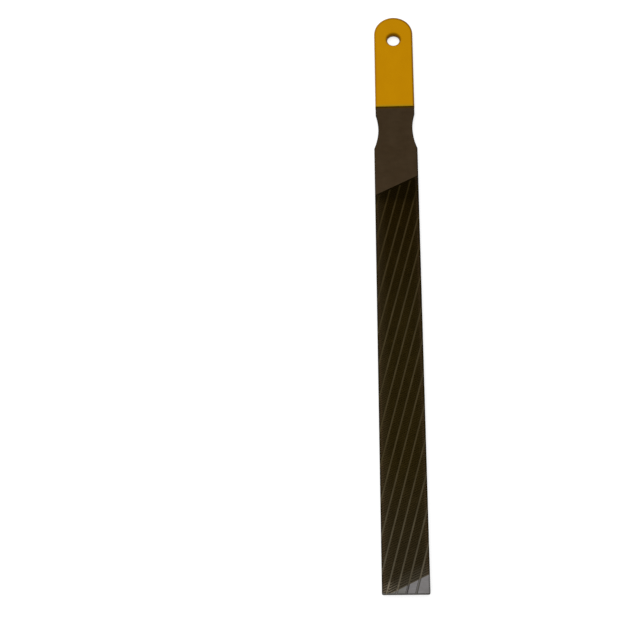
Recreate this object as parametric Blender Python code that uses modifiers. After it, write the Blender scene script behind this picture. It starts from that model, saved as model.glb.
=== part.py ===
"""A flat hand file with a dipped grip.

One bar of steel is the blade, the neck and the tang. Its upper face has coarse slanting teeth, crossed by
steep chip grooves, and its lower face has finer teeth. A yellow coat covers the tang and makes the grip,
with a hole to hang the file by.

Units are metres. The file lies flat, with its tip towards -Y and its grip towards +Y. The origin is on the
surface that it lies on, under the middle of its length and width. Outlines are drawn in the file's own
plane: X across from the centre line, Y along from the tip, and Z from the middle of the thickness.
"""
import math

import bmesh
import bpy

MM = 0.001

# Blade
BLADE_LENGTH = 254.9 * MM
BLADE_WIDTH = 24.8 * MM
BLADE_THICKNESS = 3.6 * MM
TIP_CORNER_RADIUS = 0.8 * MM

# Neck: a hollow ground into each side, then a straight collar that meets the grip
WAIST_RADIUS = 35.0 * MM
WAIST_DEPTH = 1.4 * MM
WAIST_CHAMFER = 0.3 * MM
COLLAR_LENGTH = 3.88 * MM

# Grip: a coat over the tang
GRIP_LENGTH = 60.0 * MM
GRIP_SETBACK = 1.05 * MM
COAT_FACE_STEP = 0.5 * MM
COAT_SIDE_STEP = 0.1 * MM
COAT_WALL = 0.5 * MM
COAT_FIT = 0.3 * MM
GRIP_EDGE_RADIUS = 0.8 * MM
MOUTH_EDGE_RADIUS = 0.25 * MM

# Hanging hole, which the coat lines
HOLE_DIAMETER = 7.2 * MM
HOLE_TO_END = 15.0 * MM
HOLE_EDGE_RADIUS = 1.6 * MM
LINING_WALL = 1.0 * MM

# Teeth: where they start and stop on the centre line, and their lean from square across the blade
TIP_MARGIN = 4.1 * MM
HEEL_MARGIN = 23.5 * MM
TOOTH_SLANT = math.radians(26.0)
TOOTH_FACE_LEAN = math.radians(15.0)
CREST_DROP = 0.02 * MM
COARSE_PITCH = 1.125 * MM
COARSE_DEPTH = 0.42 * MM
FINE_PITCH = 0.9 * MM
FINE_DEPTH = 0.3 * MM

# Chip grooves across the coarse teeth, and their lean from the long axis
GROOVE_SLANT = math.radians(15.18)
GROOVE_SPACING = 4.906 * MM
GROOVE_TIP_OFFSET = 0.05 * MM
GROOVE_FLOOR_WIDTH = 0.55 * MM
GROOVE_WALL_LEAN = math.radians(27.5)
GROOVE_BELOW_TEETH = 0.06 * MM
GROOVE_HEEL_GAP = 0.6 * MM

# How far cutters reach past what they cut, and how close two points of an outline are one point
CUT_OVERRUN = 1.0 * MM
WELD_DISTANCE = 0.001 * MM

# Straight steps that stand for a quarter turn, a tip corner, a hollow of the neck and each kind of edge
QUARTER_STEPS = 12
CORNER_STEPS = 3
WAIST_STEPS = 14
CHAMFER_STEPS = 1
ROUND_STEPS = 3
HOLE_RIM_STEPS = 6

# A face within the first angle of level is an upper or lower face, and faces within the second are one
LEVEL_ANGLE = math.radians(35.0)
FLAT_ANGLE = math.radians(0.5)

# Colour in linear light, roughness and metallic value
STEEL_FINISH = ((0.085, 0.070, 0.050), 0.42, 0.9)
COAT_FINISH = ((0.474, 0.220, 0.003), 0.35, 0.0)


def half_chord(radius, depth):
    """Half the width of a hollow of this radius, at this depth from its deepest point."""
    return math.sqrt(radius ** 2 - (radius - depth) ** 2)


# Widths and thicknesses that follow
GRIP_WIDTH = BLADE_WIDTH - 2 * GRIP_SETBACK
COLLAR_WIDTH = GRIP_WIDTH - 2 * COAT_SIDE_STEP
WAIST_WIDTH = COLLAR_WIDTH - 2 * WAIST_DEPTH
CAVITY_WIDTH = GRIP_WIDTH - 2 * COAT_WALL
TANG_WIDTH = CAVITY_WIDTH - 2 * COAT_FIT
GRIP_THICKNESS = BLADE_THICKNESS + 2 * COAT_FACE_STEP
CAVITY_THICKNESS = GRIP_THICKNESS - 2 * COAT_WALL
TANG_THICKNESS = CAVITY_THICKNESS - 2 * COAT_FIT
LINING_DIAMETER = HOLE_DIAMETER + 2 * LINING_WALL
TANG_HOLE_DIAMETER = LINING_DIAMETER + 2 * COAT_FIT
GROOVE_DEPTH = COARSE_DEPTH + GROOVE_BELOW_TEETH

# Places along the file that follow, from the tip
TEETH_START = TIP_MARGIN
TEETH_END = BLADE_LENGTH - HEEL_MARGIN
WAIST_PLACE = BLADE_LENGTH + half_chord(WAIST_RADIUS, (BLADE_WIDTH - WAIST_WIDTH) / 2)
COLLAR_START = WAIST_PLACE + half_chord(WAIST_RADIUS, WAIST_DEPTH)
TANG_START = COLLAR_START + COLLAR_LENGTH / 2
COLLAR_END = COLLAR_START + COLLAR_LENGTH
GRIP_MOUTH = COLLAR_END + COAT_FIT
FILE_LENGTH = GRIP_MOUTH + GRIP_LENGTH
HOLE_PLACE = FILE_LENGTH - HOLE_TO_END
END_CENTRE = FILE_LENGTH - GRIP_WIDTH / 2


def clear_scene():
    """Remove whatever the scene holds."""
    for old in list(bpy.data.objects):
        bpy.data.objects.remove(old, do_unlink=True)


def new_collection(name):
    """A new collection in the scene."""
    made = bpy.data.collections.new(name)
    bpy.context.scene.collection.children.link(made)
    return made


def new_empty(name, collection, location, rotation=(0, 0, 0), parent=None):
    """An empty that carries other objects."""
    empty = bpy.data.objects.new(name, None)
    empty.location = location
    empty.rotation_euler = rotation
    empty.parent = parent
    collection.objects.link(empty)
    return empty


def arc(centre, radius, start, end, steps):
    """Points along an arc, both ends included."""
    points = []
    for i in range(steps + 1):
        angle = start + (end - start) * i / steps
        points.append((centre[0] + radius * math.cos(angle), centre[1] + radius * math.sin(angle)))
    return points


def circle(centre, diameter):
    """A closed ring of points round a hole."""
    return arc(centre, diameter / 2, 0, 2 * math.pi, 4 * QUARTER_STEPS)[:-1]


def both_sides(right_side):
    """A closed ring from its right-hand side, which runs from the tip to the grip."""
    return right_side + [(-x, y) for x, y in reversed(right_side)]


def strap(width, start):
    """A straight strap from its square start to a half-round end, round the grip's end centre."""
    half = width / 2
    round_end = arc((0, END_CENTRE), half, 0, math.pi, 2 * QUARTER_STEPS)
    return [(half, start)] + round_end + [(-half, start)]


def blade_ring():
    """The blade and neck from above."""
    half = BLADE_WIDTH / 2
    corner_centre = (half - TIP_CORNER_RADIUS, TIP_CORNER_RADIUS)
    corner = arc(corner_centre, TIP_CORNER_RADIUS, -math.pi / 2, 0, CORNER_STEPS)
    hollow_centre = (WAIST_WIDTH / 2 + WAIST_RADIUS, WAIST_PLACE)
    hollow_start = math.pi + math.asin((WAIST_PLACE - BLADE_LENGTH) / WAIST_RADIUS)
    hollow_end = math.pi - math.asin((COLLAR_START - WAIST_PLACE) / WAIST_RADIUS)
    hollow = arc(hollow_centre, WAIST_RADIUS, hollow_start, hollow_end, WAIST_STEPS)
    return both_sides(corner + hollow + [(COLLAR_WIDTH / 2, COLLAR_END)])


def outline_solid(name, rings, half_thickness, collection, parent):
    """A flat outline, with any holes as further rings, made solid about its own plane."""
    curve = bpy.data.curves.new(name, "CURVE")
    curve.dimensions = "2D"
    curve.fill_mode = "BOTH"
    curve.extrude = half_thickness
    for ring in rings:
        spline = curve.splines.new("POLY")
        spline.points.add(len(ring) - 1)
        spline.use_cyclic_u = True
        for point, (x, y) in zip(spline.points, ring):
            point.co = (x, y, 0, 1)
    outline = bpy.data.objects.new(name, curve)
    bpy.context.scene.collection.objects.link(outline)
    evaluated = outline.evaluated_get(bpy.context.evaluated_depsgraph_get())
    mesh = bpy.data.meshes.new_from_object(evaluated)
    bpy.data.objects.remove(outline)
    bpy.data.curves.remove(curve)
    tidy = bmesh.new()
    tidy.from_mesh(mesh)
    bmesh.ops.remove_doubles(tidy, verts=tidy.verts, dist=WELD_DISTANCE)
    bmesh.ops.dissolve_limit(tidy, angle_limit=FLAT_ANGLE, verts=tidy.verts, edges=tidy.edges)
    tidy.to_mesh(mesh)
    tidy.free()
    mesh.shade_flat()
    solid = bpy.data.objects.new(name, mesh)
    solid.parent = parent
    collection.objects.link(solid)
    return solid


def turned_solid(name, profile, collection, parent, place):
    """A solid turned about Z from the profile of its outer side, which runs from top to bottom."""
    mesh = bpy.data.meshes.new(name)
    edges = [(i, i + 1) for i in range(len(profile) - 1)]
    mesh.from_pydata([(x, 0, z) for x, z in profile], edges, [])
    solid = bpy.data.objects.new(name, mesh)
    solid.location = (*place, 0)
    solid.parent = parent
    collection.objects.link(solid)
    turn = solid.modifiers.new("turn", "SCREW")
    turn.steps = 4 * QUARTER_STEPS
    turn.render_steps = turn.steps
    turn.use_merge_vertices = True
    turn.merge_threshold = WELD_DISTANCE
    return solid


def make_cutter(solid):
    """Mark a solid as one that only shapes others."""
    solid.hide_render = True
    solid.display_type = "WIRE"


def add_boolean(solid, operation, other):
    """Join another solid to this one, or cut it away."""
    modifier = solid.modifiers.new(other.name, "BOOLEAN")
    modifier.operation = operation
    modifier.object = other


def round_rims(solid, widest, steps, radius_at):
    """Round the rims of a flat solid, each by the radius that radius_at gives for its middle."""
    mesh = solid.data
    edges = bmesh.new()
    edges.from_mesh(mesh)
    weights = []
    for edge in edges.edges:
        flat_faces = [face for face in edge.link_faces if abs(face.normal.z) > math.cos(LEVEL_ANGLE)]
        middle = (edge.verts[0].co + edge.verts[1].co) / 2
        weights.append(radius_at(middle) / widest if len(flat_faces) == 1 else 0)
    edges.free()
    mesh.attributes.new("bevel_weight_edge", "FLOAT", "EDGE").data.foreach_set("value", weights)
    modifier = solid.modifiers.new("rims", "BEVEL")
    modifier.limit_method = "WEIGHT"
    modifier.width = widest
    modifier.segments = steps
    modifier.use_clamp_overlap = False


def shade_evenly(solid):
    """Keep flat faces looking flat, so that only the rounded edges between them turn."""
    shading = solid.modifiers.new("shading", "WEIGHTED_NORMAL")
    shading.keep_sharp = True


def give_material(solid, name, finish):
    """A plain material of one colour, roughness and metallic value."""
    colour, roughness, metallic = finish
    material = bpy.data.materials.new(name)
    material.use_nodes = True
    shader = material.node_tree.nodes["Principled BSDF"]
    shader.inputs["Base Color"].default_value = (*colour, 1)
    shader.inputs["Roughness"].default_value = roughness
    shader.inputs["Metallic"].default_value = metallic
    material.diffuse_color = (*colour, 1)
    solid.data.materials.append(material)


def tooth_comb(name, pitch, depth, collection, face):
    """A cutter for one face's teeth: a saw-edged block that lies along the teeth.

    Its section runs along the file, from the first tooth to the last. Each back falls gently towards the
    grip, and each cutting face is steep and looks towards the tip.
    """
    span = (TEETH_END - TEETH_START) * math.cos(TOOTH_SLANT)
    count = round(span / pitch)
    step = span / count
    face_run = depth * math.tan(TOOTH_FACE_LEAN)
    back_run = step - face_run
    start = -span / 2
    ring = [(start - CUT_OVERRUN * back_run / depth, CUT_OVERRUN)]
    for i in range(1, count + 1):
        ring.append((start + i * step - face_run, -depth))
        if i < count:
            ring.append((start + i * step, -CREST_DROP))
    ring.append((start + span + CUT_OVERRUN * math.tan(TOOTH_FACE_LEAN), CUT_OVERRUN))
    reach = BLADE_WIDTH / 2 / math.cos(TOOTH_SLANT) + span / 2 * math.tan(TOOTH_SLANT) + CUT_OVERRUN
    comb = outline_solid(name, [ring], reach, collection, face)
    comb.location = (0, (TEETH_START + TEETH_END) / 2, 0)
    comb.rotation_euler = (math.pi / 2, 0, math.pi / 2 + TOOTH_SLANT)
    make_cutter(comb)
    return comb


def groove_place(x, y, middle):
    """How far a place lies across and along the chip grooves from the middle of their row."""
    across = (x - middle[0]) * math.cos(GROOVE_SLANT) - (y - middle[1]) * math.sin(GROOVE_SLANT)
    along = (x - middle[0]) * math.sin(GROOVE_SLANT) + (y - middle[1]) * math.cos(GROOVE_SLANT)
    return across, along


def chip_grooves(collection, face):
    """Cutters for the chip grooves: a row of long wedges that all cross teeth, and that stop at the last."""
    side = BLADE_WIDTH / 2 + CUT_OVERRUN
    heel = TEETH_END - GROOVE_HEEL_GAP
    heel_rise = side * math.tan(TOOTH_SLANT)
    area_ring = [
        (-side, -CUT_OVERRUN),
        (side, -CUT_OVERRUN),
        (side, heel + heel_rise),
        (-side, heel - heel_rise),
    ]
    area = outline_solid("grooved_area", [area_ring], GROOVE_DEPTH + 2 * CUT_OVERRUN, collection, face)
    make_cutter(area)

    middle = (GROOVE_TIP_OFFSET + heel / 2 * math.tan(GROOVE_SLANT), heel / 2)
    edge = BLADE_WIDTH / 2
    edge_rise = edge * math.tan(TOOTH_SLANT)
    first = math.ceil(groove_place(-edge, heel - edge_rise, middle)[0] / GROOVE_SPACING)
    last = math.floor(groove_place(edge, TEETH_START + edge_rise, middle)[0] / GROOVE_SPACING)
    centre = first * GROOVE_SPACING
    floor = GROOVE_FLOOR_WIDTH / 2
    flare = (GROOVE_DEPTH + CUT_OVERRUN) * math.tan(GROOVE_WALL_LEAN)
    ring = [
        (centre - floor, -GROOVE_DEPTH),
        (centre + floor, -GROOVE_DEPTH),
        (centre + floor + flare, CUT_OVERRUN),
        (centre - floor - flare, CUT_OVERRUN),
    ]
    reach = max(abs(groove_place(x, y, middle)[1]) for x, y in area_ring) + CUT_OVERRUN
    grooves = outline_solid("chip_grooves", [ring], reach, collection, face)
    grooves.location = (*middle, 0)
    grooves.rotation_euler = (math.pi / 2, 0, -GROOVE_SLANT)
    row = grooves.modifiers.new("row", "ARRAY")
    row.use_relative_offset = False
    row.use_constant_offset = True
    row.constant_offset_displace = (GROOVE_SPACING, 0, 0)
    row.count = last - first + 1
    add_boolean(grooves, "INTERSECT", area)
    make_cutter(grooves)
    return grooves


def waist_rim_chamfer(middle):
    """How far the steel's rim is broken: only round the hollows, where the fingers rest."""
    return WAIST_CHAMFER if BLADE_LENGTH < middle.y < COLLAR_START else 0


def file_blade(parts, cutters, frame):
    """The steel: blade, neck and tang in one piece, with its teeth and chip grooves."""
    blade = outline_solid("file_blade", [blade_ring()], BLADE_THICKNESS / 2, parts, frame)
    round_rims(blade, WAIST_CHAMFER, CHAMFER_STEPS, waist_rim_chamfer)

    tang_rings = [strap(TANG_WIDTH, TANG_START), circle((0, HOLE_PLACE), TANG_HOLE_DIAMETER)]
    tang = outline_solid("tang", tang_rings, TANG_THICKNESS / 2, cutters, frame)
    make_cutter(tang)
    add_boolean(blade, "UNION", tang)

    upper_face = new_empty("upper_face", cutters, (0, 0, BLADE_THICKNESS / 2), parent=frame)
    lower_face = new_empty("lower_face", cutters, (0, 0, -BLADE_THICKNESS / 2), (0, math.pi, 0), frame)
    coarse_teeth = tooth_comb("coarse_teeth", COARSE_PITCH, COARSE_DEPTH, cutters, upper_face)
    fine_teeth = tooth_comb("fine_teeth", FINE_PITCH, FINE_DEPTH, cutters, lower_face)
    add_boolean(blade, "DIFFERENCE", coarse_teeth)
    add_boolean(blade, "DIFFERENCE", chip_grooves(cutters, upper_face))
    add_boolean(blade, "DIFFERENCE", fine_teeth)
    give_material(blade, "dark_steel", STEEL_FINISH)


def grip_rim_radius(middle):
    """How round the coat's rim is: crisp at the mouth and softer along the outside."""
    return MOUTH_EDGE_RADIUS if middle.y - GRIP_MOUTH < WELD_DISTANCE else GRIP_EDGE_RADIUS


def hanging_hole(collection, frame):
    """A cutter for the hole through the grip, which widens at both faces to round the coat's rim there.

    Each rounding stops one step before it would touch the face, so the cutter crosses the face steeply.
    """
    top = GRIP_THICKNESS / 2
    rim_centre = (HOLE_DIAMETER / 2 + HOLE_EDGE_RADIUS, top - HOLE_EDGE_RADIUS)
    rim = arc(rim_centre, HOLE_EDGE_RADIUS, math.pi / 2, math.pi, HOLE_RIM_STEPS)[1:]
    widest = rim[0][0]
    upper_half = [(0, top + CUT_OVERRUN), (widest, top + CUT_OVERRUN)] + rim
    lower_half = [(x, -z) for x, z in reversed(upper_half)]
    hole = turned_solid("hanging_hole", upper_half + lower_half, collection, frame, (0, HOLE_PLACE))
    make_cutter(hole)
    return hole


def vinyl_grip(parts, cutters, frame):
    """The coat: a skin all round the tang, open at the mouth, that also lines the hanging hole."""
    grip = outline_solid("vinyl_grip", [strap(GRIP_WIDTH, GRIP_MOUTH)], GRIP_THICKNESS / 2, parts, frame)
    grip.data.shade_smooth()
    widest = max(GRIP_EDGE_RADIUS, MOUTH_EDGE_RADIUS)
    round_rims(grip, widest, ROUND_STEPS, grip_rim_radius)

    cavity_rings = [strap(CAVITY_WIDTH, GRIP_MOUTH - CUT_OVERRUN), circle((0, HOLE_PLACE), LINING_DIAMETER)]
    cavity = outline_solid("tang_cavity", cavity_rings, CAVITY_THICKNESS / 2, cutters, frame)
    make_cutter(cavity)
    add_boolean(grip, "DIFFERENCE", cavity)
    add_boolean(grip, "DIFFERENCE", hanging_hole(cutters, frame))
    shade_evenly(grip)
    give_material(grip, "yellow_coat", COAT_FINISH)


def main():
    clear_scene()
    parts = new_collection("hand_file")
    cutters = new_collection("cutters")
    frame = new_empty("file_frame", parts, (0, -FILE_LENGTH / 2, GRIP_THICKNESS / 2))
    file_blade(parts, cutters, frame)
    vinyl_grip(parts, cutters, frame)


main()
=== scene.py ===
"""How the flat hand file looks: cut and ground steel, and a dipped yellow grip.

Lengths are in metres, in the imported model's frame: the tip is towards -Y, the grip is towards +Y, and the
file lies on the floor at Z = 0. Places along the file are given as distances from its tip.
"""
import math
import random

import bmesh
import bpy
from mathutils import Euler, Matrix, Vector, noise


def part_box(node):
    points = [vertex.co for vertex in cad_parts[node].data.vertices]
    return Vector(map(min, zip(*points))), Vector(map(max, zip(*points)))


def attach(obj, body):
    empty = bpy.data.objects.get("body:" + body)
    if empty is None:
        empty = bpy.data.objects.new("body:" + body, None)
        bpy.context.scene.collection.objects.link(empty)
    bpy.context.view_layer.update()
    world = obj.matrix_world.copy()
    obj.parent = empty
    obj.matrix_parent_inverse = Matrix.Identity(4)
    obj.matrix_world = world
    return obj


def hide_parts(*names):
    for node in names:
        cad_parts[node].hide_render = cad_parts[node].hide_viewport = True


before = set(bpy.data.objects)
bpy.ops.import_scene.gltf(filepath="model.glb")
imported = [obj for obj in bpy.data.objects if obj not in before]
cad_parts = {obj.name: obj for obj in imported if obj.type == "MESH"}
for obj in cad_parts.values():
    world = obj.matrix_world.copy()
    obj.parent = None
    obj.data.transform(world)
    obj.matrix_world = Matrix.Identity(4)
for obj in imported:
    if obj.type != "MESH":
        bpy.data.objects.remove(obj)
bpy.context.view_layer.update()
blade_low, blade_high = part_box("file_blade")
grip_low, grip_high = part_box("vinyl_grip")

MM = 0.001

# Blade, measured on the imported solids
TIP = blade_low.y
BLADE_WIDTH = blade_high.x - blade_low.x
BLADE_TOP = blade_high.z
BLADE_BOTTOM = blade_low.z
BLADE_MIDDLE = (BLADE_TOP + BLADE_BOTTOM) / 2
HALF_BLADE = BLADE_TOP - BLADE_MIDDLE

# Blade and neck
BLADE_LENGTH = 254.9 * MM
TIP_CORNER_RADIUS = 0.8 * MM
TIP_CORNER_STEPS = 8
WAIST_RADIUS = 35.0 * MM
WAIST_WIDTH = 19.7 * MM
COLLAR_WIDTH = 22.5 * MM
HOLLOW_STEPS = 40
MOUTH_GAP = 0.3 * MM
EDGE_ROUNDING = 0.35 * MM
EDGE_STEPS = 4

# Tang: it starts inside the collar and lies hidden in the coat
TANG_WIDTH = 21.1 * MM
TANG_THICKNESS = 3.0 * MM
TANG_ROOT = 2.0 * MM
TANG_HOLE_DIAMETER = 9.8 * MM

# Grip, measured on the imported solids
MOUTH = grip_low.y - TIP
GRIP_END = grip_high.y - TIP
GRIP_WIDTH = grip_high.x - grip_low.x
GRIP_TOP = grip_high.z
GRIP_BOTTOM = grip_low.z
GRIP_MIDDLE = (GRIP_TOP + GRIP_BOTTOM) / 2
HALF_GRIP = GRIP_TOP - GRIP_MIDDLE
END_CENTRE = GRIP_END - GRIP_WIDTH / 2
END_STEPS = 48

# Grip: roundings, and how the coat swells at the mouth and thins towards its edges
GRIP_EDGE_RADIUS = 0.8 * MM
GRIP_EDGE_STEPS = 6
COAT_WALL = 0.5 * MM
LINING_WALL = 1.0 * MM
HOLE_DIAMETER = 7.2 * MM
HOLE_TO_END = 15.0 * MM
HOLE_PLACE = GRIP_END - HOLE_TO_END
HOLE_EDGE_RADIUS = 2.0 * MM
HOLE_EDGE_STEPS = 12
HOLE_ROUND_STEPS = 96
SKIN_CELL = 1.2 * MM
LIP_HEIGHT = 0.07 * MM
LIP_LENGTH = 2.0 * MM
CROWN_DROP = 0.09 * MM
CROWN_FADE = 2.6 * MM
RIPPLE_HEIGHT = 0.012 * MM
RIPPLE_LENGTH = 5.0 * MM

# Teeth: where they start and stop on the centre line, their lean from square across the blade, and how
# much of the tip's end stays uncut
TEETH_START = 4.0 * MM
TEETH_END = BLADE_LENGTH - 23.5 * MM
TIP_STRIP = 0.45 * MM
TOOTH_SLANT = math.radians(26.0)
TOOTH_FACE_LEAN = math.radians(15.0)
CREST_DROP = 0.02 * MM
COARSE_PITCH = 1.125 * MM
COARSE_DEPTH = 0.42 * MM
FINE_PITCH = 0.9 * MM
FINE_DEPTH = 0.3 * MM

# The toothed length, measured square to the teeth
TEETH_SPAN = (TEETH_END - TEETH_START) * math.cos(TOOTH_SLANT)

# Tooth form, as shares of the pitch and depth, and how unevenly the teeth are cut
CREST_LAND_SHARE = 0.05
LEAST_LAND = 0.6
MOST_LAND = 1.8
BACK_BULGE_SHARE = 0.06
GULLET_ROUND_SHARE = 0.13
GULLET_STEPS = 3
CUT_JITTER = 0.012 * MM
WANDER = 0.012 * MM
WANDER_LENGTH = 7.0 * MM
COMB_SLICES = 14
COARSE_SEED = 3
FINE_SEED = 8

# Chip grooves across the coarse teeth, and their lean from the long axis
GROOVE_SLANT = math.radians(15.18)
GROOVE_SPACING = 4.906 * MM
GROOVE_TIP_OFFSET = 0.05 * MM
GROOVE_FLOOR_WIDTH = 0.9 * MM
GROOVE_WALL_LEAN = math.radians(20.0)
GROOVE_DEPTH = 0.48 * MM
GROOVE_HEEL_GAP = 0.6 * MM
GROOVE_FLOOR_SAG = 0.04 * MM
GROOVE_STEPS = 6

# How far cutters reach past what they cut
CUT_OVERRUN = 1.0 * MM

# A face whose normal's height is more than this is level, and a bend past these angles stays sharp
LEVEL_FACE = 0.5
STEEL_SHARP_ANGLE = math.radians(28)
GRIP_SHARP_ANGLE = math.radians(40)


# Outlines, as rings of (across, along)

def arc(centre, radius, start, end, steps):
    """Points along an arc, both ends included."""
    points = []
    for i in range(steps + 1):
        angle = start + (end - start) * i / steps
        points.append((centre[0] + radius * math.cos(angle), centre[1] + radius * math.sin(angle)))
    return points


def mirrored(upper_half):
    """A profile from its upper half, which runs down to its middle."""
    return upper_half + [(x, -z) for x, z in reversed(upper_half)]


def half_chord(radius, depth):
    """Half the width of a hollow of this radius, at this depth from its deepest point."""
    return math.sqrt(radius ** 2 - (radius - depth) ** 2)


def strap(width, start):
    """A straight strap from its square start to a half-round end, round the grip's end centre."""
    half = width / 2
    return [(half, start)] + arc((0, END_CENTRE), half, 0, math.pi, END_STEPS) + [(-half, start)]


def blade_ring():
    """The blade, the hollows of the neck and the collar from above."""
    corner_centre = (BLADE_WIDTH / 2 - TIP_CORNER_RADIUS, TIP_CORNER_RADIUS)
    corner = arc(corner_centre, TIP_CORNER_RADIUS, -math.pi / 2, 0, TIP_CORNER_STEPS)
    waist_place = BLADE_LENGTH + half_chord(WAIST_RADIUS, (BLADE_WIDTH - WAIST_WIDTH) / 2)
    collar_start = waist_place + half_chord(WAIST_RADIUS, (COLLAR_WIDTH - WAIST_WIDTH) / 2)
    hollow_centre = (WAIST_WIDTH / 2 + WAIST_RADIUS, waist_place)
    start = math.pi + math.asin((waist_place - BLADE_LENGTH) / WAIST_RADIUS)
    end = math.pi - math.asin((collar_start - waist_place) / WAIST_RADIUS)
    hollow = arc(hollow_centre, WAIST_RADIUS, start, end, HOLLOW_STEPS)
    right = corner + hollow + [(COLLAR_WIDTH / 2, MOUTH - MOUTH_GAP)]
    return right + [(-x, y) for x, y in reversed(right)]


# Meshes

def new_piece(name, mesh):
    """An object in the scene that holds this mesh."""
    piece = bpy.data.objects.new(name, mesh)
    bpy.context.scene.collection.objects.link(piece)
    return piece


def solid_of(name, shape, material):
    """An object that holds this closed shape, all of one material."""
    bmesh.ops.recalc_face_normals(shape, faces=shape.faces)
    mesh = bpy.data.meshes.new(name)
    mesh.materials.append(material)
    shape.to_mesh(mesh)
    shape.free()
    return new_piece(name, mesh)


def prism(name, ring, low, high, material, slices=1):
    """A closed solid with this ring as its section, from low to high along Z, in even slices."""
    shape = bmesh.new()
    layers = []
    for i in range(slices + 1):
        z = low + (high - low) * i / slices
        layers.append([shape.verts.new((x, y, z)) for x, y in ring])
    shape.faces.new(reversed(layers[0]))
    shape.faces.new(layers[-1])
    for below, above in zip(layers, layers[1:]):
        for i in range(len(ring)):
            j = (i + 1) % len(ring)
            shape.faces.new((below[i], below[j], above[j], above[i]))
    return solid_of(name, shape, material)


def turned(name, profile, material):
    """A closed solid turned about the hanging hole's line, from (radius, height) pairs with ends on it."""
    shape = bmesh.new()
    rings = []
    for radius, z in profile:
        around = HOLE_ROUND_STEPS if radius else 1
        ring = []
        for i in range(around):
            angle = 2 * math.pi * i / around
            spot = (radius * math.cos(angle), HOLE_PLACE + radius * math.sin(angle), z)
            ring.append(shape.verts.new(spot))
        rings.append(ring)
    for upper, lower in zip(rings, rings[1:]):
        for i in range(HOLE_ROUND_STEPS):
            j = (i + 1) % HOLE_ROUND_STEPS
            down = [upper[i % len(upper)], lower[i % len(lower)]]
            back_up = [lower[j % len(lower)], upper[j % len(upper)]]
            shape.faces.new(list(dict.fromkeys(down + back_up)))
    return solid_of(name, shape, material)


def round_rims(piece, radius, steps):
    """Round every edge of a flat solid that runs round its upper or lower face."""
    shape = bmesh.new()
    shape.from_mesh(piece.data)
    weight = shape.edges.layers.float.new("bevel_weight_edge")
    for edge in shape.edges:
        level = [abs(face.normal.z) > LEVEL_FACE for face in edge.link_faces]
        edge[weight] = 1.0 if sorted(level) == [False, True] else 0.0
    shape.to_mesh(piece.data)
    shape.free()
    bevel = piece.modifiers.new("rims", "BEVEL")
    bevel.limit_method = "WEIGHT"
    bevel.width = radius
    bevel.segments = steps
    bevel.use_clamp_overlap = False
    settle(piece)


def combine(piece, operation, others):
    """Join, cut or intersect this closed solid with others, and remove those. Cuts take their finish."""
    for other in others:
        step = piece.modifiers.new(other.name, "BOOLEAN")
        step.operation = operation
        step.object = other
        step.solver = "MANIFOLD"
        step.material_mode = "TRANSFER"
    settle(piece)
    for other in others:
        bpy.data.objects.remove(other, do_unlink=True)


def settle(piece):
    """Make a piece's modifiers part of its mesh."""
    evaluated = piece.evaluated_get(bpy.context.evaluated_depsgraph_get())
    mesh = bpy.data.meshes.new_from_object(evaluated)
    piece.modifiers.clear()
    piece.data = mesh


def shade(piece, sharp_angle):
    """Smooth what bends gently, and keep flat faces flat."""
    piece.data.shade_smooth()
    piece.data.set_sharp_from_angle(angle=sharp_angle)
    even = piece.modifiers.new("even", "WEIGHTED_NORMAL")
    even.keep_sharp = True
    settle(piece)


# Steel

def tooth_ring(pitch, depth, dice):
    """The section of one face's teeth along the file: a ring that holds all that the cutter takes away."""
    count = round(TEETH_SPAN / pitch)
    step = TEETH_SPAN / count
    face_run = depth * math.tan(TOOTH_FACE_LEAN)
    gullet = GULLET_ROUND_SHARE * step
    ring = [(-TEETH_SPAN / 2 - CUT_OVERRUN * step / depth, CUT_OVERRUN)]
    for i in range(count):
        start = -TEETH_SPAN / 2 + i * step
        end = start + step + dice.uniform(-CUT_JITTER, CUT_JITTER)
        floor = -depth + dice.uniform(-CUT_JITTER, CUT_JITTER)
        land = start + CREST_LAND_SHARE * step * dice.uniform(LEAST_LAND, MOST_LAND)
        back_end = end - face_run - gullet
        if i:
            ring.append((land, -CREST_DROP))
        ring.append(((land + back_end) / 2, (floor - CREST_DROP) / 2 + BACK_BULGE_SHARE * depth))
        ring += arc((back_end, floor + gullet), gullet, -math.pi / 2, -TOOTH_FACE_LEAN, GULLET_STEPS)
        if i < count - 1:
            ring.append((end, -CREST_DROP))
    ring.append((TEETH_SPAN / 2 + CUT_OVERRUN * math.tan(TOOTH_FACE_LEAN), CUT_OVERRUN))
    return ring


def tooth_comb(name, pitch, depth, seed, turn, finish):
    """A cutter for one face's teeth, with cuts that wander a little along their length."""
    reach = BLADE_WIDTH / 2 / math.cos(TOOTH_SLANT) + TEETH_SPAN / 2 * math.tan(TOOTH_SLANT) + CUT_OVERRUN
    slices = round(COMB_SLICES * 2 * reach / BLADE_WIDTH)
    comb = prism(name, tooth_ring(pitch, depth, random.Random(seed)), -reach, reach, finish, slices)
    for vertex in comb.data.vertices:
        if vertex.co.y < 0:
            spot = Vector((vertex.co.x, vertex.co.z, seed * MM)) / WANDER_LENGTH
            vertex.co.x += WANDER * noise.noise(spot)
    middle = (0, (TEETH_START + TEETH_END) / 2, HALF_BLADE)
    comb.data.transform(Euler((math.pi / 2, 0, math.pi / 2 + TOOTH_SLANT)).to_matrix().to_4x4())
    comb.data.transform(turn @ Matrix.Translation(middle))
    strip_ring = [(-reach, -reach), (reach, -reach), (reach, TIP_STRIP), (-reach, TIP_STRIP)]
    combine(comb, "DIFFERENCE", [prism("tip_strip", strip_ring, -reach, reach, finish)])
    return comb


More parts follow.
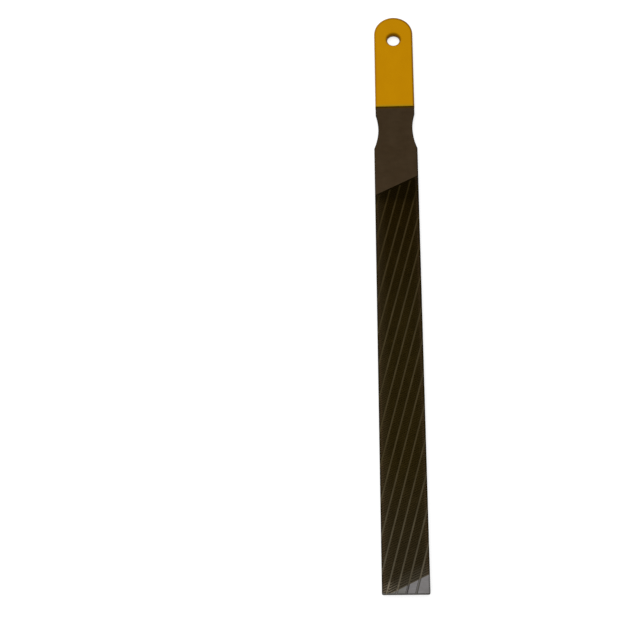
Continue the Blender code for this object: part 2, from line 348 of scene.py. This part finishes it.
def groove_ring(centre):
    """The section of one chip groove, with a floor that sags a little."""
    floor = GROOVE_FLOOR_WIDTH / 2
    flare = (GROOVE_DEPTH + CUT_OVERRUN) * math.tan(GROOVE_WALL_LEAN)
    ring = []
    for i in range(GROOVE_STEPS + 1):
        share = 2 * i / GROOVE_STEPS - 1
        ring.append((centre + share * floor, -GROOVE_DEPTH + GROOVE_FLOOR_SAG * share ** 2))
    return ring + [(centre + floor + flare, CUT_OVERRUN), (centre - floor - flare, CUT_OVERRUN)]


def chip_grooves(finish):
    """Cutters for the chip grooves, kept to the toothed length of the blade."""
    heel = TEETH_END - GROOVE_HEEL_GAP
    side = BLADE_WIDTH / 2 + CUT_OVERRUN
    rise = side * math.tan(TOOTH_SLANT)
    area_ring = [(-side, -CUT_OVERRUN), (side, -CUT_OVERRUN), (side, heel + rise), (-side, heel - rise)]
    height = GROOVE_DEPTH + 2 * CUT_OVERRUN
    middle = Vector((GROOVE_TIP_OFFSET + heel / 2 * math.tan(GROOVE_SLANT), heel / 2))
    across = Vector((math.cos(GROOVE_SLANT), -math.sin(GROOVE_SLANT)))
    edge = BLADE_WIDTH / 2
    edge_rise = edge * math.tan(TOOTH_SLANT)
    first = math.ceil((Vector((-edge, heel - edge_rise)) - middle).dot(across) / GROOVE_SPACING)
    last = math.floor((Vector((edge, TEETH_START + edge_rise)) - middle).dot(across) / GROOVE_SPACING)
    grooves = []
    for i in range(first, last + 1):
        groove = prism("groove", groove_ring(i * GROOVE_SPACING), -heel, heel, finish)
        groove.data.transform(Euler((math.pi / 2, 0, -GROOVE_SLANT)).to_matrix().to_4x4())
        groove.data.transform(Matrix.Translation((middle.x, middle.y, HALF_BLADE)))
        combine(groove, "INTERSECT", [prism("area", area_ring, -height, height, finish)])
        grooves.append(groove)
    return grooves


def steel_file(ground, cut, grooved):
    """The blade, neck and tang in one piece, built about its middle plane and then lifted to its place."""
    steel = prism("steel_blade", blade_ring(), -HALF_BLADE, HALF_BLADE, ground)
    round_rims(steel, EDGE_ROUNDING, EDGE_STEPS)
    tang_ring = strap(TANG_WIDTH, MOUTH - TANG_ROOT)
    combine(steel, "UNION", [prism("tang", tang_ring, -TANG_THICKNESS / 2, TANG_THICKNESS / 2, ground)])
    hole_profile = mirrored([(0, TANG_THICKNESS), (TANG_HOLE_DIAMETER / 2, TANG_THICKNESS)])
    upper = Matrix.Identity(4)
    lower = Matrix.Rotation(math.pi, 4, "Y")
    cutters = [
        turned("tang_hole", hole_profile, ground),
        tooth_comb("coarse", COARSE_PITCH, COARSE_DEPTH, COARSE_SEED, upper, cut),
        tooth_comb("fine", FINE_PITCH, FINE_DEPTH, FINE_SEED, lower, cut),
    ]
    combine(steel, "DIFFERENCE", cutters + chip_grooves(grooved))
    steel.data.transform(Matrix.Translation((0, TIP, BLADE_MIDDLE)))
    shade(steel, STEEL_SHARP_ANGLE)
    return steel


# Grip

def skin_drop(x, y):
    """How far the coat's skin lies below its highest level here: it has a lip, thin edges and ripples."""
    beyond = max(0, y - END_CENTRE)
    side = GRIP_WIDTH / 2 - math.hypot(x, beyond)
    lip = LIP_HEIGHT * (1 - math.exp(-((y - MOUTH) / LIP_LENGTH) ** 2))
    crown = CROWN_DROP * math.exp(-max(0, side - GRIP_EDGE_RADIUS) / CROWN_FADE)
    ripple = RIPPLE_HEIGHT * (1 + noise.noise(Vector((x, y, 0)) / RIPPLE_LENGTH))
    return lip + crown + ripple


def cut_into_cells(shape):
    """Cut the skin by even planes, so that it has points to bend at."""
    spans = ((Vector((1, 0, 0)), -GRIP_WIDTH / 2, GRIP_WIDTH / 2), (Vector((0, 1, 0)), MOUTH, GRIP_END))
    for direction, low, high in spans:
        count = round((high - low) / SKIN_CELL)
        for i in range(1, count):
            place = direction * (low + (high - low) * i / count)
            everything = shape.verts[:] + shape.edges[:] + shape.faces[:]
            bmesh.ops.bisect_plane(shape, geom=everything, plane_co=place, plane_no=direction)


def bend_skin(grip):
    """Lower the coat's skin towards its middle plane, and draw in its sides where it drops most."""
    shape = bmesh.new()
    shape.from_mesh(grip.data)
    cut_into_cells(shape)
    for vertex in shape.verts:
        x, y, z = vertex.co
        drop = skin_drop(x, y)
        vertex.co.z = z * (1 - drop / HALF_GRIP)
        if drop > CROWN_DROP:
            vertex.co.x = x * (1 - (drop - CROWN_DROP) / GRIP_WIDTH)
    shape.to_mesh(grip.data)
    shape.free()


def hole_cutter(vinyl):
    """A cutter for the hanging hole, which widens at both faces to leave round rims."""
    rim_centre = (HOLE_DIAMETER / 2 + HOLE_EDGE_RADIUS, HALF_GRIP - HOLE_EDGE_RADIUS - LIP_HEIGHT)
    rim = arc(rim_centre, HOLE_EDGE_RADIUS, math.pi / 2, math.pi, HOLE_EDGE_STEPS)[1:]
    top = HALF_GRIP + CUT_OVERRUN
    return turned("hole", mirrored([(0, top), (rim[0][0], top)] + rim), vinyl)


def cavity_cutter(vinyl):
    """A cutter for the room that the tang lies in, which leaves the hole's lining."""
    room = HALF_GRIP - COAT_WALL
    cavity = prism("cavity", strap(GRIP_WIDTH - 2 * COAT_WALL, MOUTH - CUT_OVERRUN), -room, room, vinyl)
    lining_profile = mirrored([(0, HALF_GRIP), (HOLE_DIAMETER / 2 + LINING_WALL, HALF_GRIP)])
    combine(cavity, "DIFFERENCE", [turned("lining", lining_profile, vinyl)])
    return cavity


def vinyl_grip(vinyl):
    """The dipped coat over the tang, which also lines the hanging hole."""
    grip = prism("dipped_grip", strap(GRIP_WIDTH, MOUTH), -HALF_GRIP, HALF_GRIP, vinyl)
    round_rims(grip, GRIP_EDGE_RADIUS, GRIP_EDGE_STEPS)
    bend_skin(grip)
    combine(grip, "DIFFERENCE", [cavity_cutter(vinyl), hole_cutter(vinyl)])
    grip.data.transform(Matrix.Translation((0, TIP, GRIP_MIDDLE)))
    shade(grip, GRIP_SHARP_ANGLE)
    return grip


# Nodes

# Sockets of the Mix node that carry colours
MIX_SHARE = 0
MIX_FIRST = 6
MIX_SECOND = 7
MIX_RESULT = 2

# Most of the noise lies between these
NOISE_RANGE = (0.3, 0.7)


def add_node(tree, kind, settings, inputs):
    """A node with these settings, whose inputs are values or other nodes' sockets."""
    made = tree.nodes.new(kind)
    for name, value in settings.items():
        setattr(made, name, value)
    for name, value in inputs.items():
        if isinstance(value, bpy.types.NodeSocket):
            tree.links.new(value, made.inputs[name])
        else:
            made.inputs[name].default_value = value
    return made


def place_on_object(tree):
    """Where each spot lies on its object."""
    return add_node(tree, "ShaderNodeTexCoord", {}, {}).outputs["Object"]


def clouds(tree, lengths, detail):
    """Noise whose patches have these lengths along X, Y and Z."""
    scale = [1 / length for length in lengths]
    mapping = add_node(tree, "ShaderNodeMapping", {}, {"Vector": place_on_object(tree), "Scale": scale})
    inputs = {"Vector": mapping.outputs["Vector"], "Scale": 1.0, "Detail": detail}
    return add_node(tree, "ShaderNodeTexNoise", {}, inputs).outputs["Fac"]


def spread(tree, value, low, high, to_low=0.0, to_high=1.0):
    """The value from low to high, laid out from to_low to to_high and held beyond them."""
    inputs = {"Value": value, "From Min": low, "From Max": high, "To Min": to_low, "To Max": to_high}
    return add_node(tree, "ShaderNodeMapRange", {}, inputs).outputs["Result"]


def patchy(tree, lengths, detail, low=0.0, high=1.0):
    """Noise whose patches have these lengths along X, Y and Z, laid out from low to high."""
    return spread(tree, clouds(tree, lengths, detail), *NOISE_RANGE, low, high)


def math_of(tree, operation, first, second=0.0):
    """Two numbers put through one sum."""
    return add_node(tree, "ShaderNodeMath", {"operation": operation}, {0: first, 1: second}).outputs[0]


def blend_of(tree, share, first, second):
    """A colour between two."""
    inputs = {MIX_SHARE: share, MIX_FIRST: first, MIX_SECOND: second}
    return add_node(tree, "ShaderNodeMix", {"data_type": "RGBA"}, inputs).outputs[MIX_RESULT]


def axes_of(tree, vector):
    """A vector's three numbers."""
    return add_node(tree, "ShaderNodeSeparateXYZ", {}, {0: vector}).outputs


def spot_on_file(tree):
    """How far each spot lies across from the centre line, along from the tip, and up from the floor."""
    place = axes_of(tree, place_on_object(tree))
    return place["X"], math_of(tree, "SUBTRACT", place["Y"], TIP), place["Z"]


def distance_from(tree, place):
    """How far each spot lies from this place."""
    inputs = {0: place_on_object(tree), 1: place}
    return add_node(tree, "ShaderNodeVectorMath", {"operation": "DISTANCE"}, inputs).outputs["Value"]


def radius_of(tree, across, along):
    """How far a spot lies from a point, by its distances across and along from there."""
    squares = [math_of(tree, "MULTIPLY", value, value) for value in (across, along)]
    return math_of(tree, "SQRT", math_of(tree, "ADD", *squares))


def bump(tree, height, distance, strength):
    """A bump of this depth."""
    inputs = {"Height": height, "Distance": distance, "Strength": strength}
    return add_node(tree, "ShaderNodeBump", {}, inputs).outputs["Normal"]


def new_material(name):
    """A material, its nodes and its shader."""
    material = bpy.data.materials.new(name)
    material.use_nodes = True
    tree = material.node_tree
    return material, tree, tree.nodes["Principled BSDF"]


def connect(tree, shader, colour, roughness, normal):
    """Lead a finish into its shader."""
    for name, socket in (("Base Color", colour), ("Roughness", roughness), ("Normal", normal)):
        tree.links.new(socket, shader.inputs[name])


# Colours

def srgb(red, green, blue):
    """A colour from 8-bit display values."""
    linear = []
    for value in (red, green, blue):
        share = value / 255
        linear.append(share / 12.92 if share <= 0.04045 else ((share + 0.055) / 1.055) ** 2.4)
    return (*linear, 1)


OXIDE_BROWN = srgb(47, 37, 25)
OXIDE_DARK = srgb(43, 33, 21)
SCALE_AND_SHADE_BLACK = srgb(18, 14, 8)
MOUTH_SHADOW = srgb(56, 38, 4)
TOOTH_TIP = srgb(57, 49, 34)
TOOTH_MIDDLE = srgb(55, 44, 17)
TOOTH_HEEL = srgb(43, 30, 4)
OIL_AND_SHADE_BLACK = srgb(20, 15, 4)
GROOVE_TIP = srgb(61, 56, 45)
GROOVE_MIDDLE = srgb(48, 41, 25)
GROOVE_HEEL = srgb(42, 33, 16)
GROOVE_DEEP_SHADE = srgb(46, 44, 42)
GROOVE_SHADE = srgb(63, 61, 57)
BARE_GREY = srgb(91, 90, 91)
BARE_WARM = srgb(85, 82, 80)
BARE_DIM = srgb(70, 70, 63)
RUBBED_AND_HIGHLIGHT = srgb(116, 107, 92)
RUBBED_START = srgb(78, 73, 62)
RUBBED_TEETH = srgb(84, 73, 54)
RUBBED_EDGE = srgb(84, 64, 46)
VINYL_AMBER = srgb(192, 133, 1)
VINYL_DEEP = srgb(188, 129, 1)
VINYL_THIN_AND_SHADED = srgb(130, 86, 1)
VINYL_LIP_HIGHLIGHT = srgb(172, 136, 24)
VINYL_GLANCE = (1.0, 0.55, 0.02, 1)
STEEL_GLANCE = (0.4, 0.38, 0.35, 1)
WHITE = (1, 1, 1, 1)

# Materials. A change is given as the two values that it runs between, and then what it gives at each of
# them if that isn't 0 and 1. Noise is given as its patches' lengths along X, Y and Z, and its detail, and
# what it is laid out between as a pair of its own. A bump is given as its depth and strength.

# Changes along the blade: lighter at the tip, then darker towards the heel, and darkest near its end
TIP_LIGHTENING = (0.0, 70.0 * MM)
HEEL_DARKENING = (150.0 * MM, 225.0 * MM)
HEEL_END_DARKENING = (219.0 * MM, 224.0 * MM, 0.0, 0.65)

# Dark scale and painted shade on what isn't level, by how far each face looks up or down, right, and to the
# tip
SCALE_AND_SHADE_BY_LEVEL = (0.98, 0.7)
SHADE_BY_RIGHT = (0.0, 0.5, 0.7, 0.95)
SCALE_AND_SHADE_BY_TIP = (-0.2, -0.6, 1.0, 0.35)


def graded(tree, along, tip, middle, heel):
    """A colour that changes along the blade, from its tip to its heel."""
    towards_tip = blend_of(tree, spread(tree, along, *TIP_LIGHTENING), tip, middle)
    return blend_of(tree, spread(tree, along, *HEEL_DARKENING), towards_tip, heel)


def past_teeth_start(tree, across, along):
    """How far each spot lies past the slanting line where the teeth start, measured along the file."""
    slant = math_of(tree, "MULTIPLY", across, math.tan(TOOTH_SLANT))
    return math_of(tree, "SUBTRACT", math_of(tree, "SUBTRACT", along, slant), TEETH_START)


def aside_from_groove(tree, across, along):
    """How far each spot in a chip groove lies to the right of the groove's middle, square to it."""
    turned_across = math_of(tree, "MULTIPLY", across, math.cos(GROOVE_SLANT))
    turned_along = math_of(tree, "MULTIPLY", along, math.sin(GROOVE_SLANT))
    aside = math_of(tree, "SUBTRACT", turned_across, turned_along)
    half = GROOVE_SPACING / 2
    shifted = math_of(tree, "ADD", aside, half - GROOVE_TIP_OFFSET * math.cos(GROOVE_SLANT))
    return math_of(tree, "SUBTRACT", math_of(tree, "FLOORED_MODULO", shifted, GROOVE_SPACING), half)


def scale_and_shade_on_sides(tree):
    """How much dark scale and painted shade lies on each spot: none on level faces, most on sides that face
    right, less on faces towards the tip.
    """
    normal = axes_of(tree, add_node(tree, "ShaderNodeNewGeometry", {}, {}).outputs["Normal"])
    steep = spread(tree, math_of(tree, "ABSOLUTE", normal["Z"]), *SCALE_AND_SHADE_BY_LEVEL)
    right = spread(tree, normal["X"], *SHADE_BY_RIGHT)
    tip = spread(tree, normal["Y"], *SCALE_AND_SHADE_BY_TIP)
    return math_of(tree, "MULTIPLY", steep, math_of(tree, "MULTIPLY", right, tip))


def finish_steel(tree, shader, colour, roughness, normal):
    """Make a shader steel with this finish."""
    connect(tree, shader, colour, roughness, normal)
    shader.inputs["Metallic"].default_value = 1.0
    shader.inputs["Specular Tint"].default_value = STEEL_GLANCE


# Ground steel
NECK_PATCHES = ((6.0 * MM, 9.0 * MM, 6.0 * MM), 4)
MOUTH_SHADE = (MOUTH - 1.5 * MM, MOUTH - 0.75 * MM)
GRINDING = ((9.0 * MM, 0.12 * MM, 0.5 * MM), 2)
GRINDING_BUMP = (0.004 * MM, 0.6)
FLAT_DIM_LEFT = (1.0 * MM, -1.5 * MM, 0.0, 0.5)
NECK_TO_FLAT = (22.0 * MM, 18.0 * MM)
SHADED_RIGHT = (11.2 * MM, 12.0 * MM, 0.0, 0.4)
GROUND_PATCHES = ((5.0 * MM, 2.0 * MM, 5.0 * MM), 3)
GROUND_ROUGHNESS = (0.38, 0.5)


def ground_steel():
    """Uncut steel: oiled and brown at the neck, bare and grey at the tip, with fine grinding marks, a
    painted shadow below the coat's lip, painted shade along the right edge, and dark scale with painted
    shade on its sides.
    """
    material, tree, shader = new_material("ground_steel")
    across, along, _ = spot_on_file(tree)
    brown = blend_of(tree, patchy(tree, *NECK_PATCHES), OXIDE_DARK, OXIDE_BROWN)
    # A painted shadow on the collar just below the coat's lip
    brown = blend_of(tree, spread(tree, along, *MOUTH_SHADE), brown, MOUTH_SHADOW)
    marks = clouds(tree, *GRINDING)
    bare = blend_of(tree, spread(tree, marks, *NOISE_RANGE), BARE_WARM, BARE_GREY)
    bare = blend_of(tree, spread(tree, across, *FLAT_DIM_LEFT), bare, BARE_DIM)
    colour = blend_of(tree, spread(tree, along, *NECK_TO_FLAT), brown, bare)
    # Painted shade along the right edge
    colour = blend_of(tree, spread(tree, across, *SHADED_RIGHT), colour, SCALE_AND_SHADE_BLACK)
    # Dark scale and painted shade on what isn't level, most on sides that face right
    colour = blend_of(tree, scale_and_shade_on_sides(tree), colour, SCALE_AND_SHADE_BLACK)
    roughness = patchy(tree, *GROUND_PATCHES, *GROUND_ROUGHNESS)
    finish_steel(tree, shader, colour, roughness, bump(tree, marks, *GRINDING_BUMP))
    return material


# Cut steel: places are across from the centre line, or past the line where the teeth start
TOOTH_PATCHES = ((5.0 * MM, 8.0 * MM, 5.0 * MM), 4)
OIL_IN_PATCHES = (0.2, 0.0)
GULLET_LIGHT_BY_DEPTH = (0.05 * MM, COARSE_DEPTH, 0.5, 0.0)
WORN_START = (8.0 * MM, 1.0 * MM, 0.0, 0.45)
WORN_LEFT = (-6.0 * MM, -11.0 * MM, 0.0, 0.2)
WORN_RIGHT = (8.0 * MM, 11.0 * MM, 0.0, 0.08)
WEAR_PATCHES = ((1.5 * MM, 1.5 * MM, 1.5 * MM), 3)
WEAR_BY_PATCH = (0.35, 0.65, 0.4, 1.0)
EDGE_BAND_START = (10.3 * MM, 10.8 * MM, 0.0, 0.3)
EDGE_BAND_END = (11.7 * MM, 11.3 * MM)
EDGE_SHADE = (11.4 * MM, 11.9 * MM, 0.0, 0.25)
CREST_HIGHLIGHT = (0.25 * MM, 0.09 * MM)
TOOTH_CORNER = (-8.0 * MM, TIP + 1.0 * MM, BLADE_TOP)
TOOTH_CORNER_HIGHLIGHT = (5.5 * MM, 1.5 * MM, 0.0, 0.8)
TOOTH_GRAIN = ((0.3 * MM, 0.3 * MM, 0.3 * MM), 3)
TOOTH_ROUGHNESS = (0.42, 0.58)
TOOTH_BUMP = (0.01 * MM, 0.5)


def depth_in_steel(tree, height):
    """How far each spot at this height lies below the nearer face of the blade."""
    below_top = math_of(tree, "SUBTRACT", BLADE_TOP, height)
    above_bottom = math_of(tree, "SUBTRACT", height, BLADE_BOTTOM)
    return math_of(tree, "MINIMUM", below_top, above_bottom)


def cut_steel():
    """Teeth: oiled and dark, darker towards the heel, rubbed along the edges, with painted light in the
    gullets, painted shade on the outer rim, and a painted highlight on the crests at one corner.
    """
    material, tree, shader = new_material("cut_steel")
    across, along, height = spot_on_file(tree)
    depth = depth_in_steel(tree, height)
    # Crests darker than gullets: painted light that lifts the shade in the gullets, on top of patches of
    # oil
    gullet_light = spread(tree, depth, *GULLET_LIGHT_BY_DEPTH)
    oil = math_of(tree, "ADD", gullet_light, patchy(tree, *TOOTH_PATCHES, *OIL_IN_PATCHES))
    steel = graded(tree, along, TOOTH_TIP, TOOTH_MIDDLE, TOOTH_HEEL)
    colour = blend_of(tree, oil, steel, OIL_AND_SHADE_BLACK)

    worn_start = spread(tree, past_teeth_start(tree, across, along), *WORN_START)
    worn_left = spread(tree, across, *WORN_LEFT)
    worn_right = spread(tree, across, *WORN_RIGHT)
    colour = blend_of(tree, worn_start, colour, RUBBED_START)
    colour = blend_of(tree, math_of(tree, "MAXIMUM", worn_left, worn_right), colour, RUBBED_TEETH)
    colour = blend_of(tree, spread(tree, along, *HEEL_END_DARKENING), colour, OIL_AND_SHADE_BLACK)

    side = math_of(tree, "ABSOLUTE", across)
    uneven = spread(tree, clouds(tree, *WEAR_PATCHES), *WEAR_BY_PATCH)
    band_start = spread(tree, side, *EDGE_BAND_START)
    band_end = spread(tree, side, *EDGE_BAND_END)
    band = math_of(tree, "MULTIPLY", math_of(tree, "MULTIPLY", band_start, band_end), uneven)
    colour = blend_of(tree, band, colour, RUBBED_EDGE)
    # Painted shade on the blade's outermost rim
    colour = blend_of(tree, spread(tree, side, *EDGE_SHADE), colour, OIL_AND_SHADE_BLACK)
    # A painted highlight on the crests near the tip's left corner
    crest = math_of(tree, "MULTIPLY", spread(tree, depth, *CREST_HIGHLIGHT), uneven)
    corner = spread(tree, distance_from(tree, TOOTH_CORNER), *TOOTH_CORNER_HIGHLIGHT)
    colour = blend_of(tree, math_of(tree, "MULTIPLY", crest, corner), colour, RUBBED_AND_HIGHLIGHT)

    grain = clouds(tree, *TOOTH_GRAIN)
    roughness = spread(tree, grain, *NOISE_RANGE, *TOOTH_ROUGHNESS)
    finish_steel(tree, shader, colour, roughness, bump(tree, grain, *TOOTH_BUMP))
    return material


# Chip grooves: places are across from the centre line, or past the line where the teeth start
GROOVE_PATCHES = ((3.0 * MM, 10.0 * MM, 3.0 * MM), 4)
OIL_IN_GROOVES = (0.3, 0.0)
SCRAPED_LEFT = (1.0 * MM, -1.0 * MM)
SCRAPED_RIGHT = (3.0 * MM, 5.0 * MM)
SCRAPED_START = (9.0 * MM, 4.0 * MM, 0.0, 0.11)
LIGHT_RIGHT = (3.0 * MM, 6.0 * MM)
LIGHT_LEFT = (-1.0 * MM, -4.0 * MM, 0.0, 0.5)
SHADED_SIDE = (-0.3 * MM, 0.1 * MM)
TEETH_TO_FLAT = (0.4 * MM, -0.4 * MM)
GROOVE_CORNER = (-7.5 * MM, TIP + 2.5 * MM, BLADE_TOP)
GROOVE_CORNER_PALER = (4.8 * MM, 2.6 * MM)
GROOVE_SPOTS = ((1.6 * MM, 1.6 * MM, 1.6 * MM), 1)
PALER_BY_SPOT = (0.45, 0.55, 0.0, 0.3)
GROOVE_STREAKS = ((0.08 * MM, 5.0 * MM, 0.5 * MM), 2)
GROOVE_ROUGHNESS = (0.36, 0.5)
GROOVE_BUMP = (0.004 * MM, 0.6)


def groove_shade_on_flat(tree, across, along):
    """A chip groove's colour on the bare flat: as light as the flat, but for painted shade on its right
    side.
    """
    dark = blend_of(tree, spread(tree, across, *LIGHT_RIGHT), GROOVE_DEEP_SHADE, GROOVE_SHADE)
    dark = blend_of(tree, spread(tree, across, *LIGHT_LEFT), dark, BARE_WARM)
    right = spread(tree, aside_from_groove(tree, across, along), *SHADED_SIDE)
    return blend_of(tree, right, BARE_WARM, dark)


def grooved_steel():
    """Chip grooves: scraped cleaner than the teeth, more so towards the tip, paler in spots at one corner,
    and with painted shade on their right side across the flat.
    """
    material, tree, shader = new_material("grooved_steel")
    across, along, _ = spot_on_file(tree)
    past = past_teeth_start(tree, across, along)
    steel = graded(tree, along, GROOVE_TIP, GROOVE_MIDDLE, GROOVE_HEEL)
    colour = blend_of(tree, patchy(tree, *GROOVE_PATCHES, *OIL_IN_GROOVES), steel, OIL_AND_SHADE_BLACK)
    colour = blend_of(tree, spread(tree, along, *HEEL_END_DARKENING), colour, OIL_AND_SHADE_BLACK)

    scraped_left = spread(tree, across, *SCRAPED_LEFT)
    scraped_right = spread(tree, across, *SCRAPED_RIGHT)
    scraped_sides = math_of(tree, "MAXIMUM", scraped_left, scraped_right)
    scraped = math_of(tree, "MULTIPLY", scraped_sides, spread(tree, past, *SCRAPED_START))
    colour = blend_of(tree, scraped, colour, RUBBED_AND_HIGHLIGHT)
    # Painted shade on the grooves' right side across the flat
    on_flat = groove_shade_on_flat(tree, across, along)
    colour = blend_of(tree, spread(tree, past, *TEETH_TO_FLAT), colour, on_flat)
    spots = spread(tree, clouds(tree, *GROOVE_SPOTS), *PALER_BY_SPOT)
    corner = spread(tree, distance_from(tree, GROOVE_CORNER), *GROOVE_CORNER_PALER)
    colour = blend_of(tree, math_of(tree, "MULTIPLY", spots, corner), colour, RUBBED_AND_HIGHLIGHT)

    streaks = clouds(tree, *GROOVE_STREAKS)
    roughness = spread(tree, streaks, *NOISE_RANGE, *GROOVE_ROUGHNESS)
    finish_steel(tree, shader, colour, roughness, bump(tree, streaks, *GROOVE_BUMP))
    return material


# Vinyl: places are from the centre line, the end's centre, the hole's centre or the tip
VINYL_PATCHES = ((7.0 * MM, 12.0 * MM, 7.0 * MM), 3)
LIP_HIGHLIGHT = (MOUTH + 1.6 * MM, MOUTH + 0.2 * MM)
THIN_AND_SHADED_RIM = (GRIP_WIDTH / 2 - 1.3 * MM, GRIP_WIDTH / 2 - 0.6 * MM)
RIM_SHADE_BY_END = (0.0, GRIP_WIDTH / 2, 0.0, 0.4 * MM)
RIM_SHADE_BY_SIDE = (-5.0 * MM, 5.0 * MM, 0.45, 1.0)
THIN_AND_SHADED_HOLE_RIM = (HOLE_DIAMETER / 2 + 1.3 * MM, HOLE_DIAMETER / 2 + 0.4 * MM)
VINYL_SKIN = ((0.9 * MM, 0.9 * MM, 0.9 * MM), 3)
VINYL_BUMP = (0.01 * MM, 0.5)
VINYL_SHEEN = ((4.0 * MM, 4.0 * MM, 4.0 * MM), 3)
VINYL_ROUGHNESS = (0.38, 0.48)
VINYL_SPECULAR = 0.1


def thin_and_shaded_vinyl(tree, across, along):
    """How much darker the coat is at each spot, partly a thinner coat and partly painted shade: at its
    outer rim, most on the right and wider at the end, and round the hole.
    """
    beyond = math_of(tree, "MAXIMUM", math_of(tree, "SUBTRACT", along, END_CENTRE), 0.0)
    widened = spread(tree, beyond, *RIM_SHADE_BY_END)
    from_middle = math_of(tree, "ADD", radius_of(tree, across, beyond), widened)
    outer = spread(tree, from_middle, *THIN_AND_SHADED_RIM)
    outer = math_of(tree, "MULTIPLY", outer, spread(tree, across, *RIM_SHADE_BY_SIDE))
    from_hole = radius_of(tree, across, math_of(tree, "SUBTRACT", along, HOLE_PLACE))
    return math_of(tree, "MAXIMUM", outer, spread(tree, from_hole, *THIN_AND_SHADED_HOLE_RIM))


def amber_vinyl():
    """Dipped vinyl: satin, even in colour, with a faint skin, a painted highlight along the lip, and darker
    where it rounds an edge, partly from a thinner coat and partly from painted shade.
    """
    material, tree, shader = new_material("amber_vinyl")
    across, along, _ = spot_on_file(tree)
    colour = blend_of(tree, patchy(tree, *VINYL_PATCHES), VINYL_DEEP, VINYL_AMBER)
    # A painted highlight along the lip at the mouth
    colour = blend_of(tree, spread(tree, along, *LIP_HIGHLIGHT), colour, VINYL_LIP_HIGHLIGHT)
    # Darker rims: partly a thinner coat, partly painted shade, most on the right
    colour = blend_of(tree, thin_and_shaded_vinyl(tree, across, along), colour, VINYL_THIN_AND_SHADED)
    roughness = patchy(tree, *VINYL_SHEEN, *VINYL_ROUGHNESS)
    connect(tree, shader, colour, roughness, bump(tree, clouds(tree, *VINYL_SKIN), *VINYL_BUMP))
    shader.inputs["Specular IOR Level"].default_value = VINYL_SPECULAR
    shader.inputs["Specular Tint"].default_value = VINYL_GLANCE
    return material


# Stage

FLOOR_SIZE = 6.0
FLOOR_GAP = 0.02 * MM
FLOOR_COLOUR = (0.5, 0.5, 0.5, 1)
FLOOR_LIFT = 0.68
AMBIENT = 0.48
CAMERA_LOCATION = (-15.332 * MM, -292.373 * MM, 725.561 * MM)
CAMERA_TURN = (math.radians(20.6053), math.radians(2.2986), math.radians(-0.1009))
CAMERA_LENS = 78.977
CAMERA_NEAR = 10.0 * MM
LAMP_PLACE = Vector((-0.20, 0.10, 1.10))
LAMP_AIM = Vector((0, 0, 0))
LAMP_SIZE = 1.4
LAMP_POWER = 8.8


def seen_directly(tree):
    """1 for a ray that shows the background: straight from the camera, or through a mirror or glass."""
    path = add_node(tree, "ShaderNodeLightPath", {}, {}).outputs
    shown = math_of(tree, "MAXIMUM", path["Is Camera Ray"], path["Is Glossy Ray"])
    return math_of(tree, "MAXIMUM", shown, path["Is Transmission Ray"])


def white_world():
    """A plain white surrounding that lights the object softly."""
    world = bpy.data.worlds.new("studio")
    bpy.context.scene.world = world
    world.use_nodes = True
    tree = world.node_tree
    background = tree.nodes["Background"]
    strength = spread(tree, seen_directly(tree), 0.0, 1.0, AMBIENT, 1.0)
    tree.links.new(strength, background.inputs["Strength"])
    background.inputs["Color"].default_value = WHITE


def pale_floor():
    """A white floor that keeps the object's shadow."""
    mesh = bpy.data.meshes.new("floor")
    half = FLOOR_SIZE / 2
    corners = [(-half, -half, 0), (half, -half, 0), (half, half, 0), (-half, half, 0)]
    mesh.from_pydata(corners, [], [(0, 1, 2, 3)])
    floor = new_piece("floor", mesh)
    floor.location.z = -FLOOR_GAP
    material, tree, shader = new_material("pale_floor")
    shader.inputs["Base Color"].default_value = FLOOR_COLOUR
    shader.inputs["Roughness"].default_value = 1.0
    shader.inputs["Specular IOR Level"].default_value = 0.0
    shader.inputs["Emission Color"].default_value = WHITE
    lift = spread(tree, seen_directly(tree), 0.0, 1.0, 0.0, FLOOR_LIFT)
    tree.links.new(lift, shader.inputs["Emission Strength"])
    material.cycles.emission_sampling = "NONE"
    mesh.materials.append(material)


def soft_lamp():
    """A large square lamp over the object."""
    light = bpy.data.lights.new("lamp", "AREA")
    light.size = LAMP_SIZE
    light.energy = LAMP_POWER
    holder = bpy.data.objects.new("lamp", light)
    holder.location = LAMP_PLACE
    holder.rotation_euler = (LAMP_AIM - LAMP_PLACE).to_track_quat("-Z", "Y").to_euler()
    bpy.context.scene.collection.objects.link(holder)


def photo_camera():
    """The camera where the photograph was taken from."""
    camera = bpy.data.objects.new("camera", bpy.data.cameras.new("camera"))
    camera.data.lens = CAMERA_LENS
    camera.data.clip_start = CAMERA_NEAR
    camera.location = CAMERA_LOCATION
    camera.rotation_euler = CAMERA_TURN
    bpy.context.scene.collection.objects.link(camera)
    bpy.context.scene.camera = camera


steel = steel_file(ground_steel(), cut_steel(), grooved_steel())
grip = vinyl_grip(amber_vinyl())
for piece, node, slot in ((steel, "file_blade", "steel"), (grip, "vinyl_grip", "vinyl")):
    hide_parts(node)
    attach(piece, "root")

white_world()
pale_floor()
soft_lamp()
photo_camera()
bpy.context.scene.view_settings.view_transform = "Standard"
